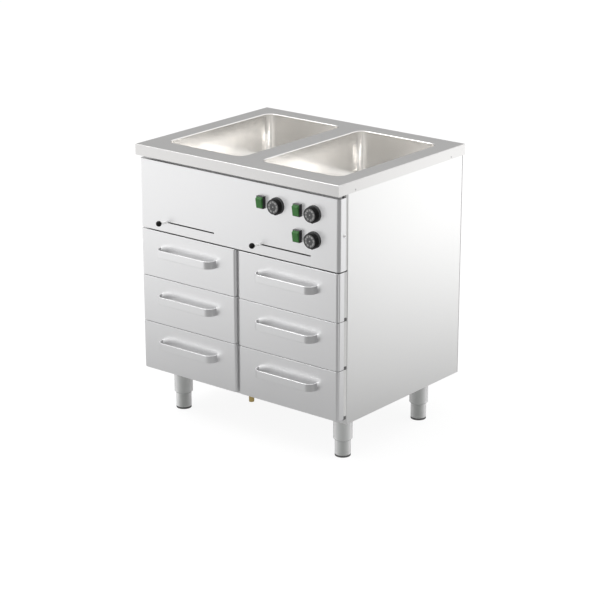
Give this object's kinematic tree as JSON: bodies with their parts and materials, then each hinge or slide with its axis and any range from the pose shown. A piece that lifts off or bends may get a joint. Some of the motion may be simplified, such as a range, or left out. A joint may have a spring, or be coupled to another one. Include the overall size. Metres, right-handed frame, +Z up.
{
  "type": "hot cupboard",
  "caption": "Stainless-steel hot cupboard on adjustable legs: drain wells in the worktop, control panel with rockers, dials and drain levers, and heated drawers with bow handles.",
  "frame": {"origin": "floor level, in the middle of the object's width and of its whole depth with the drain levers' ball knobs", "axes": "+Z up, -Y towards the user at the front, +X to the user's right"},
  "size_m": [0.805, 0.672, 0.9],
  "materials": {
    "worktop_steel": "satin, finely brushed lengthways",
    "well_steel": "smooth pressed, half bright",
    "front_steel": "fine brushed, level grain",
    "side_steel": "fine brushed, upright grain",
    "inner_steel": "plain rolled",
    "handle_steel": "finely polished along the strip",
    "lever_steel": "bright drawn bar",
    "screw_steel": "bright",
    "pipe_steel": "turned",
    "leg_metal": "satin",
    "zinc": "zinc plated",
    "heater_metal": "heat-darkened tube",
    "brass": "turned",
    "black_rubber": "matte",
    "black_plastic": "matte",
    "switch_black": "half gloss",
    "switch_green": "half gloss",
    "knob_black": "half matte"
  },
  "bodies": {
    "cabinet": {"worktop": "worktop_steel", "well_left": "well_steel", "well_right": "well_steel", "control_panel": "front_steel", "side_panel_left": "side_steel", "side_panel_right": "side_steel", "back_panel": "side_steel", "base_plate": "inner_steel", "inner_deck": "inner_steel", "centre_divider": "inner_steel", "centre_strip": "inner_steel", "drawer_rails_left": "inner_steel", "drawer_rails_right": "inner_steel", "drawer_buffers": "black_rubber", "panel_screws": "screw_steel", "leg_sockets": "leg_metal", "thermostats": "zinc", "drain_valve_left": "pipe_steel", "drain_valve_right": "pipe_steel", "drain_pipe": "pipe_steel", "drain_outlet": "brass", "well_heaters": "heater_metal", "cupboard_heaters": "heater_metal", "cable_gland": "black_plastic", "switch_housing_left": "switch_black", "switch_housing_upper": "switch_black", "switch_housing_lower": "switch_black"},
    "drawer_left_bottom": {"drawer_front_left_bottom": "front_steel", "drawer_box_left_bottom": "inner_steel", "drawer_handle_left_bottom": "handle_steel"},
    "drawer_left_middle": {"drawer_front_left_middle": "front_steel", "drawer_box_left_middle": "inner_steel", "drawer_handle_left_middle": "handle_steel"},
    "drawer_left_top": {"drawer_front_left_top": "front_steel", "drawer_box_left_top": "inner_steel", "drawer_handle_left_top": "handle_steel"},
    "drawer_right_bottom": {"drawer_front_right_bottom": "front_steel", "drawer_box_right_bottom": "inner_steel", "drawer_handle_right_bottom": "handle_steel"},
    "drawer_right_middle": {"drawer_front_right_middle": "front_steel", "drawer_box_right_middle": "inner_steel", "drawer_handle_right_middle": "handle_steel"},
    "drawer_right_top": {"drawer_front_right_top": "front_steel", "drawer_box_right_top": "inner_steel", "drawer_handle_right_top": "handle_steel"},
    "rocker_left": {"rocker_left": "switch_green"},
    "rocker_upper": {"rocker_upper": "switch_green"},
    "rocker_lower": {"rocker_lower": "switch_green"},
    "knob_left": {"knob_left": "knob_black"},
    "knob_upper": {"knob_upper": "knob_black"},
    "knob_lower": {"knob_lower": "knob_black"},
    "drain_lever_left": {"drain_lever_left": "lever_steel", "lever_ball_left": "knob_black"},
    "drain_lever_right": {"drain_lever_right": "lever_steel", "lever_ball_right": "knob_black"},
    "foot_front_left": {"foot_front_left": "leg_metal"},
    "foot_front_right": {"foot_front_right": "leg_metal"},
    "foot_back_left": {"foot_back_left": "leg_metal"},
    "foot_back_right": {"foot_back_right": "leg_metal"}
  },
  "joints": [
    {"name": "drawer_left_bottom_slide", "type": "slide", "parent": "cabinet", "child": "drawer_left_bottom", "axis": [0, -1, 0], "range_m": [0, 0.4]},
    {"name": "drawer_left_middle_slide", "type": "slide", "parent": "cabinet", "child": "drawer_left_middle", "axis": [0, -1, 0], "range_m": [0, 0.4]},
    {"name": "drawer_left_top_slide", "type": "slide", "parent": "cabinet", "child": "drawer_left_top", "axis": [0, -1, 0], "range_m": [0, 0.4]},
    {"name": "drawer_right_bottom_slide", "type": "slide", "parent": "cabinet", "child": "drawer_right_bottom", "axis": [0, -1, 0], "range_m": [0, 0.4]},
    {"name": "drawer_right_middle_slide", "type": "slide", "parent": "cabinet", "child": "drawer_right_middle", "axis": [0, -1, 0], "range_m": [0, 0.4]},
    {"name": "drawer_right_top_slide", "type": "slide", "parent": "cabinet", "child": "drawer_right_top", "axis": [0, -1, 0], "range_m": [0, 0.4]},
    {"name": "rocker_left_tilt", "type": "hinge", "parent": "cabinet", "child": "rocker_left", "pos_m": [0.104, -0.307, 0.7985], "axis": [-1, 0, 0], "range_deg": [0, 14]},
    {"name": "rocker_upper_tilt", "type": "hinge", "parent": "cabinet", "child": "rocker_upper", "pos_m": [0.244, -0.307, 0.7985], "axis": [-1, 0, 0], "range_deg": [0, 14]},
    {"name": "rocker_lower_tilt", "type": "hinge", "parent": "cabinet", "child": "rocker_lower", "pos_m": [0.244, -0.307, 0.7185], "axis": [-1, 0, 0], "range_deg": [0, 14]},
    {"name": "knob_left_turn", "type": "hinge", "parent": "cabinet", "child": "knob_left", "pos_m": [0.165, -0.299, 0.797], "axis": [0, 1, 0], "range_deg": [0, 270]},
    {"name": "knob_upper_turn", "type": "hinge", "parent": "cabinet", "child": "knob_upper", "pos_m": [0.305, -0.299, 0.797], "axis": [0, 1, 0], "range_deg": [0, 270]},
    {"name": "knob_lower_turn", "type": "hinge", "parent": "cabinet", "child": "knob_lower", "pos_m": [0.305, -0.299, 0.717], "axis": [0, 1, 0], "range_deg": [0, 270]},
    {"name": "drain_lever_left_swing", "type": "hinge", "parent": "cabinet", "child": "drain_lever_left", "pos_m": [-0.19, 0.023, 0.6629], "axis": [0, 0, 1], "range_deg": [0, 33]},
    {"name": "drain_lever_right_swing", "type": "hinge", "parent": "cabinet", "child": "drain_lever_right", "pos_m": [0.19, 0.023, 0.6629], "axis": [0, 0, 1], "range_deg": [0, 33]},
    {"name": "foot_front_left_height", "type": "slide", "parent": "cabinet", "child": "foot_front_left", "axis": [0, 0, -1], "range_m": [0, 0.04]},
    {"name": "foot_front_right_height", "type": "slide", "parent": "cabinet", "child": "foot_front_right", "axis": [0, 0, -1], "range_m": [0, 0.04]},
    {"name": "foot_back_left_height", "type": "slide", "parent": "cabinet", "child": "foot_back_left", "axis": [0, 0, -1], "range_m": [0, 0.04]},
    {"name": "foot_back_right_height", "type": "slide", "parent": "cabinet", "child": "foot_back_right", "axis": [0, 0, -1], "range_m": [0, 0.04]}
  ]
}
